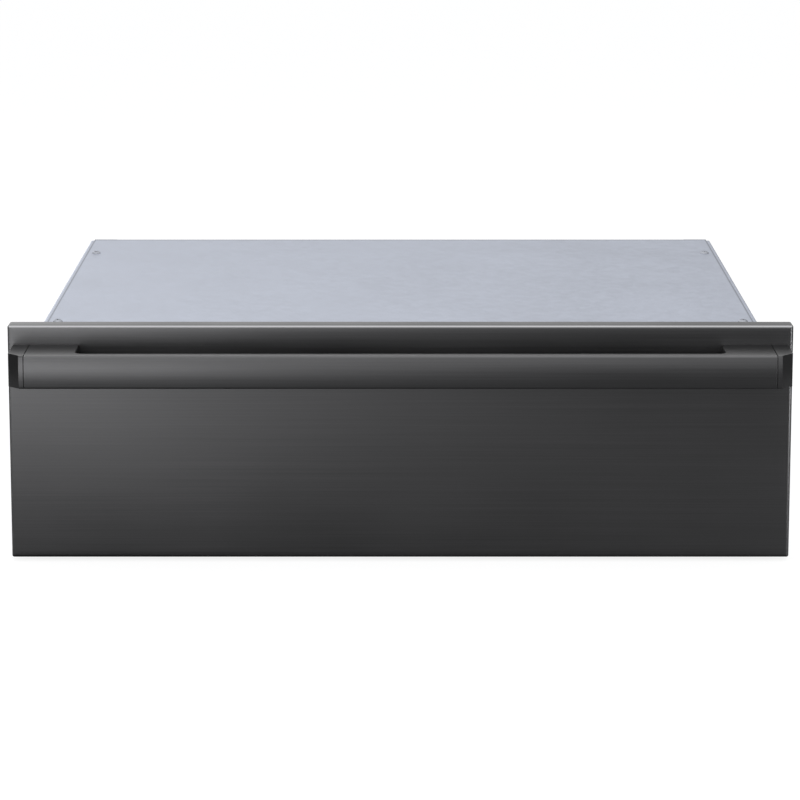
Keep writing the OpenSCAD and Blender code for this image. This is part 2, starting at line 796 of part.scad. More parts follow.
// A strip folded round the web, with a hole for each ball
module ball_cage(c, web_u, reach, y0) color(stainless) difference() {
  top = c[1] + cage_t / 2;
  slide_run(y0, cage_l) difference() {
    translate([web_u, -top]) square([reach - web_u, 2 * top]);
    translate([web_u + cage_web_t, cage_t - top]) square([reach, 2 * (top - cage_t)]);
  }
  for (i = [0 : row_balls - 1], s = [-1, 1])
    translate([wall_x - c[0], y0 + (i + 0.5) * ball_pitch, slide_z + s * c[1]])
      cylinder(r = outer_groove_r, h = 3, center = true);
}

module ball_rows(c, r, y0) color(stainless)
  for (i = [0 : row_balls - 1], s = [-1, 1])
    translate([wall_x - c[0], y0 + (i + 0.5) * ball_pitch, slide_z + s * c[1]]) sphere(r);

outer_cage_y = -cage_l / 2;
inner_cage_y = -cage_l / 2 + 10;

module outer_cage() ball_cage(outer_ball, outer_cage_u, 8.9, outer_cage_y);
module inner_cage() ball_cage(inner_ball, inner_cage_u, 11.1, inner_cage_y);
module outer_balls() ball_rows(outer_ball, outer_groove_r - ball_play, outer_cage_y);
module inner_balls() ball_rows(inner_ball, inner_groove_r - ball_play, inner_cage_y);

module right_slide_outer() slide_outer();
module left_slide_outer() mirror([1, 0, 0]) slide_outer();
module right_slide_middle() slide_middle();
module left_slide_middle() mirror([1, 0, 0]) slide_middle();
module right_slide_inner() slide_inner();
module left_slide_inner() mirror([1, 0, 0]) slide_inner();
module right_outer_cage() outer_cage();
module left_outer_cage() mirror([1, 0, 0]) outer_cage();
module right_inner_cage() inner_cage();
module left_inner_cage() mirror([1, 0, 0]) inner_cage();
module right_outer_balls() outer_balls();
module left_outer_balls() mirror([1, 0, 0]) outer_balls();
module right_inner_balls() inner_balls();
module left_inner_balls() mirror([1, 0, 0]) inner_balls();

// ---- Drawer front ----

handle_screw_x = 335;
handle_screw_z = [handle_z + 10, handle_z + 22];

// The panel's outside, folded on all four sides of its face and grown inwards by t
module panel_body(t) {
  w = panel_w / 2 - t;
  r = panel_fold_r - t;
  y0 = y_panel + t;
  back = y_liner + (t > 0 ? 1 : 0);
  intersection() {
    translate([0, 0, panel_lift + t]) linear_extrude(height = panel_h - 2 * t)
      both_sides() translate([w, y0]) rotate(90) fold_corner(back - y0, w + 1, r);
    run_x(2 * w) translate([y0, 0]) {
      translate([0, panel_lift + t]) fold_corner(back - y0, panel_h / 2, r);
      translate([0, panel_top - t]) mirror([0, 1]) fold_corner(back - y0, panel_h / 2, r);
    }
  }
}

module front_panel() color(graphite) difference() {
  panel_body(0);
  panel_body(skin_t);
  both_sides() for (z = handle_screw_z) rod_y(handle_screw_x, z, y_panel - 1, y_panel + 3, 2.7);
}

module front_liner() color(stainless) {
  gap = skin_t + 0.2;
  difference() {
    both_sides() translate([panel_w / 2 - gap, y_liner, panel_lift + gap])
      linear_extrude(height = panel_h - 2 * gap) rotate(180) folded_sheet(panel_w / 2, 10, sheet, fold_r);
    both_sides() for (z = rail_screw_z) rod_y(rail_x - 10, z, y_liner - 3, y_liner + 1, screw_hole_r);
  }
}

module handle_backing_bar() color(zinc) {
  y = y_panel + skin_t;
  difference() {
    translate([0, y, 0]) run_x(2 * (handle_screw_x + 20))
      channel(handle_z, handle_top, 12, 12, 2.5);
    both_sides() for (z = handle_screw_z) rod_y(handle_screw_x, z, y - 1, y + 4, 2.7);
  }
}

// The handle's section: a flat back, and a bowed face whose edges are rounded.
// Each edge arc touches the bow and the flat face, so its middle lies where both are grip_edge_r away.
module handle_section() {
  arc_z = handle_h / 2 - grip_edge_r;
  arc_y = grip_bow_r - sqrt(pow(grip_bow_r - grip_edge_r, 2) - pow(arc_z, 2));
  touch_z = grip_bow_r * arc_z / (grip_bow_r - grip_edge_r);
  translate([y_grip, handle_z + handle_h / 2]) {
    intersection() {
      translate([grip_bow_r, 0]) circle(grip_bow_r, $fn = 360);
      translate([-1, -touch_z]) square([handle_depth + 2, 2 * touch_z]);
    }
    translate([arc_y, -handle_h / 2]) square([handle_depth + 1 - arc_y, handle_h]);
    for (z = [-arc_z, arc_z]) translate([arc_y, z]) circle(grip_edge_r);
  }
}

module handle_run(x0, x1) intersection() {
  translate([(x0 + x1) / 2, 0, 0]) run_x(x1 - x0) handle_section();
  block([x0, x1], [y_grip - 1, y_panel], [handle_z - 1, handle_top + 1]);
}

bar_end = handle_w / 2 - cap_w;
peg_r = 3;
peg_y = [y_panel - 12, y_grip + 9];

module handle_bar() color(graphite) difference() {
  handle_run(slack - bar_end, bar_end - slack);
  translate([0, 0, handle_z - 1]) linear_extrude(height = handle_h + 2)
    rounded([-slot_w / 2, y_grip + grip_t], [slot_w / 2, y_panel + 2 * slot_r], slot_r);
  both_sides() {
    for (z = handle_screw_z) rod_y(handle_screw_x, z, y_panel - 14, y_panel + 1, 2.6);
    for (y = peg_y) rod_x(y, handle_z + handle_h / 2, bar_end - 9, bar_end, peg_r + 0.1);
  }
}

// The cap that closes the handle's end, bevelled towards the front
module end_cap() color(graphite) {
  x = handle_w / 2;
  intersection() {
    handle_run(bar_end, x);
    linear_extrude(height = 2 * panel_h) polygon([
      [bar_end, y_panel], [x, y_panel], [x, y_grip + cap_bevel_d],
      [x - cap_bevel_w, y_grip], [bar_end, y_grip]]);
  }
  for (y = peg_y) rod_x(y, handle_z + handle_h / 2, bar_end - 8, bar_end + 0.5, peg_r);
}

module right_end_cap() end_cap();
module left_end_cap() mirror([1, 0, 0]) end_cap();

module handle_screws() color(zinc)
  both_sides() for (z = handle_screw_z)
    translate([handle_screw_x, y_panel + skin_t + 2.5, z]) rotate([-90, 0, 0]) pan_screw(4.5, 3, 2.5, 15);

// ---- Drawer frame and pan ----

// The pan's wall in section, outwards from the middle of a corner: floor, bend and upright
module pan_wall() {
  flat = pan_corner_r - pan_floor_r;
  square([flat, pan_t]);
  translate([flat, pan_floor_r]) intersection() {
    difference() {
      circle(pan_floor_r);
      circle(pan_floor_r - pan_t);
    }
    translate([0, -pan_floor_r]) square(pan_floor_r);
  }
  translate([pan_corner_r - pan_t, pan_floor_r]) square([pan_t, pan_h - pan_floor_r]);
}

// A deep-drawn tub: its wall runs along the four sides and round the corners, under a flat rim
module drawer_pan() color(stainless) difference() {
  x = pan_w / 2 - pan_corner_r;
  y = pan_d / 2 - pan_corner_r;
  union() {
    translate([0, pan_y + pan_d / 2, pan_floor_z]) {
      block([-x, x], [-y, y], [0, pan_t]);
      both_sides() translate([x, 0, 0]) run_y(-y, 2 * y) pan_wall();
      for (a = [0, 180]) rotate(a) run_x(2 * x) translate([y, 0]) pan_wall();
      for (c = [[x, y, 0], [-x, y, 90], [-x, -y, 180], [x, -y, 270]])
        translate([c[0], c[1], 0]) rotate(c[2]) rotate_extrude(angle = 90) pan_wall();
    }
    translate([0, 0, rim_z]) linear_extrude(height = pan_t) difference() {
      rounded([-pan_w / 2 - rim_lip - 4, pan_y - rim_lip],
              [pan_w / 2 + rim_lip + 4, pan_y + pan_d + rim_lip - 2], 6);
      rounded([pan_t - pan_w / 2, pan_y + pan_t], [pan_w / 2 - pan_t, pan_y + pan_d - pan_t],
              pan_corner_r - pan_t);
    }
  }
  for (i = [0 : vent_count - 1]) vent_slot_at((i - (vent_count - 1) / 2) * vent_pitch);
  both_sides() rod_y(rivet_x, vent_z, pan_y - 2, pan_y + 3, 2.05);
}

module vent_slot_at(x)
  block([x - vent_slot[0] / 2, x + vent_slot[0] / 2], [pan_y - 2, pan_front_y + 3],
        [vent_z - vent_slot[1] / 2, vent_z + vent_slot[1] / 2]);

// Perforated plate that slides across the pan's vent slots, and its thumb tab
module vent_shutter() color(stainless) {
  y0 = pan_front_y + shutter_gap;
  difference() {
    union() {
      block([-90, 95], [y0, y0 + shutter_t], [vent_z - 10, vent_z + 10]);
      translate([0, y0, vent_z]) rotate([-90, 0, 0]) cylinder(r = 5, h = 8);
    }
    for (i = [0 : vent_count - 1]) if (i != (vent_count - 1) / 2)
      vent_slot_at((i - (vent_count - 1) / 2) * vent_pitch);
    for (x = [-rivet_x, rivet_x])
      slot_y(x - shutter_travel - 1 - 2.3, x + 2.3, vent_z, y0 - 1, y0 + 3, 2.3);
  }
}

module shutter_rivets() color(zinc) both_sides() {
  rod_y(rivet_x, vent_z, pan_y, pan_front_y + 2.2, 2);
  rod_y(rivet_x, vent_z, pan_front_y + 1.7, pan_front_y + 3, 4.5);
}

// A folded rail that carries the pan's rim and screws to the slide, the front and the rear rail
module drawer_rail() color(stainless) difference() {
  end = rear_rail_y - fold_r;
  union() {
    translate([rail_x, 0, 0]) run_y(y_liner + fold_r, end - y_liner - fold_r)
      mirror([1, 0]) channel(rail_z, rim_z, rail_foot, rail_lip, sheet);
    upright_fold(rail_x, y_liner, [rail_z + fold_r, rim_z - fold_r], 17, 2 * fold_r);
    translate([0, rear_rail_y, 0]) mirror([0, 1, 0])
      upright_fold(rail_x, 0, [rail_z + fold_r, rim_z - fold_r], rail_lip, 2 * fold_r);
  }
  for (y = rivet_y) rod_x(y, slide_z, rail_x - 2, rail_x + 1, screw_hole_r);
  for (z = rail_screw_z) rod_y(rail_x - 10, z, y_liner - 1, y_liner + 3, screw_hole_r);
  rod_y(rail_x - 8, 150, rear_rail_y - 3, rear_rail_y + 1, screw_hole_r);
}

module right_drawer_rail() drawer_rail();
module left_drawer_rail() mirror([1, 0, 0]) drawer_rail();

module rear_drawer_rail() color(stainless) difference() {
  union() {
    block([-rail_x, rail_x], [rear_rail_y, rear_rail_y + sheet], [rear_rail_z, rim_z - fold_r]);
    run_x(pan_w) translate([rear_rail_y + sheet, rim_z])
      rotate(180) folded_sheet(7, rim_z - rear_rail_z, sheet, fold_r);
  }
  both_sides() rod_y(rail_x - 8, 150, rear_rail_y - 3, rear_rail_y + 3, screw_hole_r);
}

module drawer_screws() color(zinc) both_sides() {
  for (y = rivet_y) translate([rail_x - sheet, y, slide_z]) rotate([0, -90, 0])
    pan_screw(4, 2, screw_r, sheet + member_t);
  for (z = rail_screw_z) translate([rail_x - 10, y_liner + sheet, z]) rotate([-90, 0, 0])
    pan_screw(4, 2, screw_r, 2 * sheet + 3);
  translate([rail_x - 8, rear_rail_y + sheet, 150]) rotate([-90, 0, 0])
    pan_screw(4, 2, screw_r, 2 * sheet + 3);
}

base_pan();
left_side_panel();
right_side_panel();
rear_panel();
top_cover();
top_cover_screws();
rear_panel_screws();
slide_rivets();
front_top_rail();
front_bottom_rail();
cavity_liner();
top_insulation();
bottom_insulation();
reflector_tray();
heating_element();
element_clips();
element_insulators();
limit_thermostat();
temperature_sensor();
terminal_block();
cord_gland();
wiring_harness();
control_box();
control_board();
control_fascia();
display_lens();
power_button();
temperature_down_button();
temperature_up_button();
timer_button();
front_bumpers();
left_slide_outer();
right_slide_outer();
left_slide_middle();
right_slide_middle();
left_slide_inner();
right_slide_inner();
left_outer_cage();
right_outer_cage();
left_inner_cage();
right_inner_cage();
left_outer_balls();
right_outer_balls();
left_inner_balls();
right_inner_balls();
front_panel();
front_liner();
front_insulation();
handle_backing_bar();
handle_bar();
left_end_cap();
right_end_cap();
handle_screws();
drawer_pan();
left_drawer_rail();
right_drawer_rail();
rear_drawer_rail();
drawer_screws();
vent_shutter();
shutter_rivets();
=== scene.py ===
import math

import bmesh
import bpy
import numpy as np
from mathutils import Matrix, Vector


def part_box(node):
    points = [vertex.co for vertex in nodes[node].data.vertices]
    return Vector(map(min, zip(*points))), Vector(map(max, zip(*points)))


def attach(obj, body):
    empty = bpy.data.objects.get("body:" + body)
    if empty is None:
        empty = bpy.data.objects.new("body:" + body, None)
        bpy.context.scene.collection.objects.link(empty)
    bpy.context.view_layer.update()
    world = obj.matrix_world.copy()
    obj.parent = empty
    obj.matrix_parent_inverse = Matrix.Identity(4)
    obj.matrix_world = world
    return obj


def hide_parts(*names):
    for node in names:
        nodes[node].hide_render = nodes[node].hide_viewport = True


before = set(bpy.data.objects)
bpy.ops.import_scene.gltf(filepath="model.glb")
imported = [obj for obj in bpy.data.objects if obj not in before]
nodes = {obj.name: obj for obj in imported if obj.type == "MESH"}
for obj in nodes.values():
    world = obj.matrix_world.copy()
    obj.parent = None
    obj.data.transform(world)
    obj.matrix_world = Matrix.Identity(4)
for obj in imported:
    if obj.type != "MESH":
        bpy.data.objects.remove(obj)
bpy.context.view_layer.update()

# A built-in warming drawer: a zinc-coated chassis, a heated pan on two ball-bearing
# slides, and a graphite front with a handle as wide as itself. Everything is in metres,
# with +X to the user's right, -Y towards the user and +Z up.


# ---- Camera ----
# The drawer is seen from the front and a little from above. The photograph's vanishing
# point and the width of the front in it give the camera's place, its tilt and its lens.

camera_place = (-0.0004, -3.585, 0.813)
camera_down = 11.11          # degrees below level
picture_pixels = 800
focal_pixels = 3494
camera_reach = 100


def put_in_scene(name, data):
    """An object of this name and with this data, in the scene."""
    thing = bpy.data.objects.new(name, data)
    bpy.context.scene.collection.objects.link(thing)
    return thing


camera = put_in_scene("camera", bpy.data.cameras.new("camera"))
camera.location = camera_place
camera.rotation_euler = (math.radians(90 - camera_down), 0, 0)
camera.data.lens = camera.data.sensor_width * focal_pixels / picture_pixels
camera.data.clip_end = camera_reach
bpy.context.scene.camera = camera
bpy.context.scene.view_settings.view_transform = "Standard"


# ---- Floor ----
# Pale studio paper that runs on past the edge of the picture. The camera sees it white.
# A reflection sees it bright far in front of the drawer at the left, and dark elsewhere.

floor_reach = 30
floor_white = 0.3            # the part of the lamps' light that it gives back
floor_glow = 0.85            # what the camera sees beside that
near_glow = (0.0, 0.09)      # what a reflection sees close to the drawer, at the left and at the right
far_glow = (1.5, 0.0)        # and far in front of it
glow_sides = (-0.4, 0.4)
glow_distances = (-0.3, -1.6)
white = (1, 1, 1, 1)


def sheet(name, corners):
    """A flat mesh with one face, from its corners in turn."""
    mesh = bpy.data.meshes.new(name)
    mesh.from_pydata(corners, [], [range(len(corners))])
    return mesh


def add(tree, kind, inputs=None, **settings):
    """Adds a node. Its own settings come by name. Each input is linked if a socket is given, and set if
    not. It goes by its number where the node's sockets share a name."""
    node = tree.nodes.new(kind)
    for key, value in settings.items():
        setattr(node, key, value)
    for key, value in (inputs or {}).items():
        if isinstance(value, bpy.types.NodeSocket):
            tree.links.new(value, node.inputs[key])
        else:
            node.inputs[key].default_value = value
    return node


def math_of(tree, operation, *values):
    """One step of arithmetic."""
    return add(tree, "ShaderNodeMath", dict(enumerate(values)), operation=operation).outputs[0]


def fade(tree, measure, start, end, first=0.0, last=1.0, course="SMOOTHSTEP"):
    """Goes from the first value to the last while a measure goes from start to end, and no further."""
    reach = {"Value": measure, "From Min": start, "From Max": end, "To Min": first, "To Max": last}
    return add(tree, "ShaderNodeMapRange", reach, interpolation_type=course).outputs[0]


floor_mesh = sheet("floor", [(-floor_reach, -floor_reach, 0), (floor_reach, -floor_reach, 0),
                             (floor_reach, floor_reach, 0), (-floor_reach, floor_reach, 0)])
floor = put_in_scene("floor", floor_mesh)

studio_paper = bpy.data.materials.new("studio_paper")
studio_paper.use_nodes = True
floor_mesh.materials.append(studio_paper)
paper = studio_paper.node_tree
paper.nodes.clear()
spot = add(paper, "ShaderNodeSeparateXYZ", {
    "Vector": add(paper, "ShaderNodeTexCoord").outputs["Object"]}).outputs
to_right = fade(paper, spot["X"], *glow_sides)
forwards = fade(paper, spot["Y"], *glow_distances)
near, far = (fade(paper, to_right, 0, 1, *glow, course="LINEAR") for glow in (near_glow, far_glow))
reflected = fade(paper, forwards, 0, 1, near, far, course="LINEAR")
rays = add(paper, "ShaderNodeLightPath").outputs
straight = math_of(paper, "MAXIMUM", rays["Is Camera Ray"], rays["Is Transmission Ray"])
direct = math_of(paper, "MULTIPLY", straight, floor_glow)
strength = math_of(paper, "MULTIPLY_ADD", rays["Is Glossy Ray"], reflected, direct)
matt = add(paper, "ShaderNodeBsdfDiffuse", {"Color": (floor_white, floor_white, floor_white, 1)})
glow = add(paper, "ShaderNodeEmission", {"Color": white, "Strength": strength})
both = add(paper, "ShaderNodeAddShader", {0: matt.outputs[0], 1: glow.outputs[0]})
add(paper, "ShaderNodeOutputMaterial", {"Surface": both.outputs[0]})


# ---- Walls ----
# Pale walls all round light the drawer softly. The camera and the reflections see them
# white, and the reflections see them brighter still low down at the left.

wall_light = 0.5             # how brightly they light the drawer, where white is 1
wall_tint = (0.97, 0.98, 1, 1)
wall_extra = 1.3             # what a reflection sees beside white, low down at the left
wall_sides = (-0.35, 0.25)   # where that fades towards the right
wall_heights = (0.3, 0.65)   # and upwards

world = bpy.data.worlds.new("studio")
world.use_nodes = True
bpy.context.scene.world = world
walls = world.node_tree
walls.nodes.clear()
aim = add(walls, "ShaderNodeSeparateXYZ", {
    "Vector": add(walls, "ShaderNodeTexCoord").outputs["Generated"]}).outputs
rays = add(walls, "ShaderNodeLightPath").outputs
extra = fade(walls, aim["X"], *wall_sides, wall_extra, 0.0)
low = fade(walls, aim["Z"], *wall_heights, 1.0, 0.0)
mirrored = math_of(walls, "MULTIPLY", rays["Is Glossy Ray"], low)
strength = math_of(walls, "MULTIPLY_ADD", mirrored, extra, 1.0)
shown = math_of(walls, "MAXIMUM", rays["Is Camera Ray"], rays["Is Glossy Ray"])
shown = math_of(walls, "MAXIMUM", shown, rays["Is Transmission Ray"])
lighting = add(walls, "ShaderNodeBackground", {"Color": wall_tint, "Strength": wall_light})
backdrop = add(walls, "ShaderNodeBackground", {"Color": white, "Strength": strength})
mixed = add(walls, "ShaderNodeMixShader", {0: shown, 1: lighting.outputs[0], 2: backdrop.outputs[0]})
add(walls, "ShaderNodeOutputWorld", {"Surface": mixed.outputs[0]})


# ---- Lamps ----
# Soft rectangular lamps. A wide one hangs overhead, two stand behind for the cover, three
# are in front for the panel and the handle, and two far out to the sides light the ends.

lamps = {
    # name: where it is, what it points at, its width and height, its power in watts
    "high_left_lamp": ((-0.9, -3.6, 1.8), (-0.3, -0.26, 0.15), (0.6, 0.6), 2.9),
    "low_left_lamp": ((-0.5, -1.1, 0.15), (-0.3, -0.26, 0.15), (0.5, 0.2), 0.7),
    "low_right_lamp": ((0.8, -0.8, 0.06), (0.38, -0.26, 0.0), (0.3, 0.08), 1.1),
    "rear_left_lamp": ((-1.5, 2.5, 0.9), (-0.2, 0.1, 0.2), (1.0, 0.8), 9),
    "rear_lamp": ((0, 1.2, 1.4), (0, -0.3, 0.2), (2.4, 0.5), 2.4),
    "top_lamp": ((-0.3, -0.6, 1.9), (-0.2, -0.3, 0.2), (3.0, 2.0), 8.5),
    "left_lamp": ((-3.0, -1.2, 0.6), (-0.38, -0.26, 0.1), (0.5, 1.0), 20),
    "right_lamp": ((3.0, -1.2, 0.6), (0.38, -0.26, 0.1), (0.5, 1.0), 20),
}
for name, (lamp_place, target, size, watts) in lamps.items():
    light = bpy.data.lights.new(name, "AREA")
    light.shape = "RECTANGLE"
    light.size, light.size_y = size
    light.energy = watts
    lamp = put_in_scene(name, light)
    lamp.location = lamp_place
    lamp.visible_camera = False
    towards = np.subtract(target, lamp_place)
    level = math.hypot(towards[0], towards[1])
    lamp.rotation_euler = (math.atan2(level, -towards[2]), 0,
                           math.atan2(towards[1], towards[0]) - math.pi / 2)


# ---- Dark cards ----
# An upright black card on each side of the drawer, for the bevels of the handle's ends to
# mirror. Nothing but a reflection sees the cards, and they take no light away.

card_aside = 1.5
card_front, card_rear = -0.9, 1.9
card_height = 1.2
card_grey = 0.004

black_card = bpy.data.materials.new("black_card")
black_card.use_nodes = True
black_card.node_tree.nodes["Principled BSDF"].inputs["Base Color"].default_value = (
    card_grey, card_grey, card_grey, 1)
for x in (-card_aside, card_aside):
    card_mesh = sheet("dark_card", [(x, card_front, 0), (x, card_rear, 0),
                                    (x, card_rear, card_height), (x, card_front, card_height)])
    card_mesh.materials.append(black_card)
    card = put_in_scene("dark_card", card_mesh)
    card.visible_camera = card.visible_diffuse = card.visible_shadow = card.visible_transmission = False


# ---- Chassis ----
# Folded sheets of zinc-coated steel, 1.2 mm thick: base, two sides, rear, and a rail above
# and below the drawer. The coat is a dull bluish grey, cloudy, with faint crystals.

grey = (0.5, 0.5, 0.5, 1)
per_metre = 1000             # turns a size in millimetres into a number to the metre


def new_effect(name, inputs):
    """Starts a node group, whose inputs are labels with their defaults. Returns it and what it is given."""
    effect = bpy.data.node_groups.new(name, "ShaderNodeTree")
    for label, default in inputs.items():
        size = len(default) if hasattr(default, "__len__") else 1
        kind = {1: "NodeSocketFloat", 3: "NodeSocketVector", 4: "NodeSocketColor"}[size]
        effect.interface.new_socket(label, in_out="INPUT", socket_type=kind).default_value = default
    return effect, add(effect, "NodeGroupInput").outputs


def put_out(effect, **results):
    """Ends a node group. Color goes out as a colour, and every other result as a number."""
    for label in results:
        kind = "NodeSocketColor" if label == "Color" else "NodeSocketFloat"
        effect.interface.new_socket(label, in_out="OUTPUT", socket_type=kind)
    add(effect, "NodeGroupOutput", results)


def scaled(tree, vector, factor):
    """A colour or a place times a factor."""
    return add(tree, "ShaderNodeVectorMath", {0: vector, "Scale": factor}, operation="SCALE").outputs[0]


def noise(tree, place, scale, detail):
    """A soft random pattern from 0 to 1, with its middle at one half."""
    return add(tree, "ShaderNodeTexNoise", {"Vector": place, "Scale": scale, "Detail": detail}).outputs[0]


def varied(tree, value, pattern, amount):
    """A value plus a pattern times an amount."""
    return math_of(tree, "MULTIPLY_ADD", pattern, amount, value)


def srgb(red, green, blue):
    """A colour as a screen shows it, 0 to 255, turned into the amounts of light that a shader takes, by the
    screen's standard curve: straight near black, and a power above."""
    part = np.array([red, green, blue]) / 255
    light = np.where(part <= 0.04045, part / 12.92, ((part + 0.055) / 1.055) ** 2.4)
    return (*light.tolist(), 1.0)


def finish(name, effect, values, bump=0.0, bump_depth=0.0001, grain=False, over=None, **constants):
    """A material. An effect on Object coordinates gives its colour, roughness and bump. over, a function of
    the material's nodes, the place and the colour, lays something over that colour. Constants go on the
    shader. grain=True stretches highlights across the X axis, as brushing along X does."""
    material = bpy.data.materials.new(name)
    material.use_nodes = True
    tree = material.node_tree
    shader = tree.nodes["Principled BSDF"]
    for key, value in constants.items():
        shader.inputs[key.replace("_", " ")].default_value = value
    place = add(tree, "ShaderNodeTexCoord").outputs["Object"]
    coat = add(tree, "ShaderNodeGroup", {"Place": place, **values}, node_tree=effect).outputs
    colour = over(tree, place, coat["Color"]) if over else coat["Color"]
    tree.links.new(colour, shader.inputs["Base Color"])
    tree.links.new(coat["Roughness"], shader.inputs["Roughness"])
    if bump:
        relief = {"Height": coat["Height"], "Strength": bump, "Distance": bump_depth}
        tree.links.new(add(tree, "ShaderNodeBump", relief).outputs[0], shader.inputs["Normal"])
    if grain:
        round_x = add(tree, "ShaderNodeTangent", direction_type="RADIAL", axis="X")
        tree.links.new(round_x.outputs[0], shader.inputs["Tangent"])
    return material


def dress(material, *names):
    """Gives the CAD pieces of these names a material."""
    for name in names:
        for slot in nodes[name].material_slots:
            slot.material = material


# Flat crystals, each of one shade, under broad clouds. Crystal is their size in millimetres.
cloud_part = 1.6             # how much the clouds count beside the crystals
coat_middle = 1.3            # the middle of the two together
dust_part = 0.5              # how much fine grains count in the bump, beside the crystals
zinc_coat, given = new_effect("zinc_coat", {
    "Place": (0, 0, 0), "Colour": grey, "Crystal": 9.0, "Contrast": 0.03, "Roughness": 0.4, "Spread": 0.05})
crystal_scale = math_of(zinc_coat, "DIVIDE", per_metre, given["Crystal"])
cells = add(zinc_coat, "ShaderNodeTexVoronoi", {"Vector": given["Place"], "Scale": crystal_scale},
            feature="F1")
crystal = add(zinc_coat, "ShaderNodeSeparateColor", {"Color": cells.outputs["Color"]}).outputs[0]
cloud = noise(zinc_coat, given["Place"], scale=7, detail=3)
dust = noise(zinc_coat, given["Place"], scale=900, detail=2)
uneven = math_of(zinc_coat, "SUBTRACT", varied(zinc_coat, crystal, cloud, cloud_part), coat_middle)
put_out(zinc_coat,
        Color=scaled(zinc_coat, given["Colour"], varied(zinc_coat, 1, uneven, given["Contrast"])),
        Roughness=varied(zinc_coat, given["Roughness"], uneven, given["Spread"]),
        Height=varied(zinc_coat, crystal, dust, dust_part))

zinc_values = {"Colour": srgb(202, 207, 219), "Crystal": 7, "Contrast": 0.025, "Roughness": 0.42}
zinc_shine = {"bump": 0.05, "Metallic": 0.85, "Specular_Tint": (0.3, 0.3, 0.3, 1)}
galvanised = finish("galvanised", zinc_coat, zinc_values, **zinc_shine)
dress(galvanised, "base_pan", "left_side_panel", "right_side_panel", "rear_panel", "front_top_rail",
      "front_bottom_rail")


# ---- Slides ----
# Two full-extension slides: channels of zinc-plated steel, rolled to nest, with hardened
# balls in stamped cages between them. Rivets hold the outer channels to the chassis' sides.

# Fine lines drawn along a piece. Lines is how many there are to the metre on each axis.
finer = 2.7                  # a second set of lines is this much finer than the first
lines_middle = 1             # the middle of the two sets together
smudge_middle, smudge_spread = 0.5, 0.12
brushed, given = new_effect("brushed", {
    "Place": (0, 0, 0), "Colour": grey, "Lines": (8, 900, 900), "Contrast": 0.1, "Roughness": 0.35,
    "Spread": 0.08})
drawn = add(brushed, "ShaderNodeVectorMath", {0: given["Place"], 1: given["Lines"]},
            operation="MULTIPLY").outputs[0]
broad_lines = noise(brushed, drawn, scale=1, detail=2)
fine_lines = noise(brushed, scaled(brushed, drawn, finer), scale=1, detail=3)
smudge = noise(brushed, given["Place"], scale=6, detail=2)
lines = math_of(brushed, "ADD", broad_lines, fine_lines)
uneven = math_of(brushed, "SUBTRACT", lines, lines_middle)
handled = math_of(brushed, "SUBTRACT", smudge, smudge_middle)
put_out(brushed,
        Color=scaled(brushed, given["Colour"], varied(brushed, 1, uneven, given["Contrast"])),
        Roughness=varied(brushed, varied(brushed, given["Roughness"], handled, smudge_spread),
                         uneven, given["Spread"]),
        Height=lines)

zinc_plate = finish("zinc_plate", brushed, {
    "Colour": srgb(186, 190, 198), "Lines": (300, 12, 300), "Contrast": 0.12, "Roughness": 0.3},
    bump=0.1, Metallic=1)
dress(zinc_plate, "left_slide_outer", "right_slide_outer", "left_slide_middle", "right_slide_middle",
      "left_slide_inner", "right_slide_inner", "slide_rivets")

cage_steel = finish("cage_steel", brushed, {
    "Colour": srgb(170, 166, 158), "Lines": (300, 20, 300), "Contrast": 0.1, "Roughness": 0.33},
    bump=0.1, Metallic=1)
dress(cage_steel, "left_outer_cage", "right_outer_cage", "left_inner_cage", "right_inner_cage")

ball_steel = finish("ball_steel", zinc_coat, {
    "Colour": srgb(205, 207, 212), "Crystal": 0.5, "Contrast": 0.02, "Roughness": 0.12}, Metallic=1)
dress(ball_steel, "left_outer_balls", "right_outer_balls", "left_inner_balls", "right_inner_balls")


# ---- Cavity ----
# Bright stainless sheet over the heated space, hung from the sides and brushed from side
# to side. Batts of glass fibre over it and on the base keep the heat in.

stainless = finish("stainless", brushed, {
    "Colour": srgb(176, 176, 176), "Lines": (4, 900, 900), "Contrast": 0.06, "Roughness": 0.3},
    bump=0.04, grain=True, Metallic=1, Anisotropic=0.5)
dress(stainless, "cavity_liner")

# Fine grains and broad patches, as on a moulded or fibrous piece. Grain is in millimetres.
patches_middle = 1           # the middle of grains and patches together
moulded, given = new_effect("moulded", {
    "Place": (0, 0, 0), "Colour": grey, "Grain": 0.4, "Contrast": 0.1, "Roughness": 0.5, "Spread": 0.12})
grain_scale = math_of(moulded, "DIVIDE", per_metre, given["Grain"])
grains = noise(moulded, given["Place"], grain_scale, detail=2)
patches = noise(moulded, given["Place"], scale=25, detail=3)
uneven = math_of(moulded, "SUBTRACT", math_of(moulded, "ADD", grains, patches), patches_middle)
put_out(moulded,
        Color=scaled(moulded, given["Colour"], varied(moulded, 1, uneven, given["Contrast"])),
        Roughness=varied(moulded, given["Roughness"], uneven, given["Spread"]),
        Height=grains)

fibre = finish("fibre", moulded, {
    "Colour": srgb(232, 218, 160), "Grain": 1.5, "Contrast": 0.5, "Roughness": 0.95},
    bump=0.8, bump_depth=0.001)
dress(fibre, "top_insulation", "bottom_insulation")


# ---- Heater ----
# A sheathed element, darkened by its own heat, in zinc-plated saddles over a stainless
# reflector. Steatite beads carry its cold ends. A probe and a cut-out watch the heat.

dress(stainless, "reflector_tray", "temperature_sensor")
dress(zinc_plate, "element_clips")

sheath = finish("sheath", zinc_coat, {
    "Colour": srgb(92, 90, 88), "Crystal": 14, "Contrast": 0.2, "Roughness": 0.5}, bump=0.1, Metallic=0.8)
dress(sheath, "heating_element")

steatite = finish("steatite", moulded, {
    "Colour": srgb(232, 226, 214), "Grain": 0.3, "Roughness": 0.45}, bump=0.1)
dress(steatite, "element_insulators")

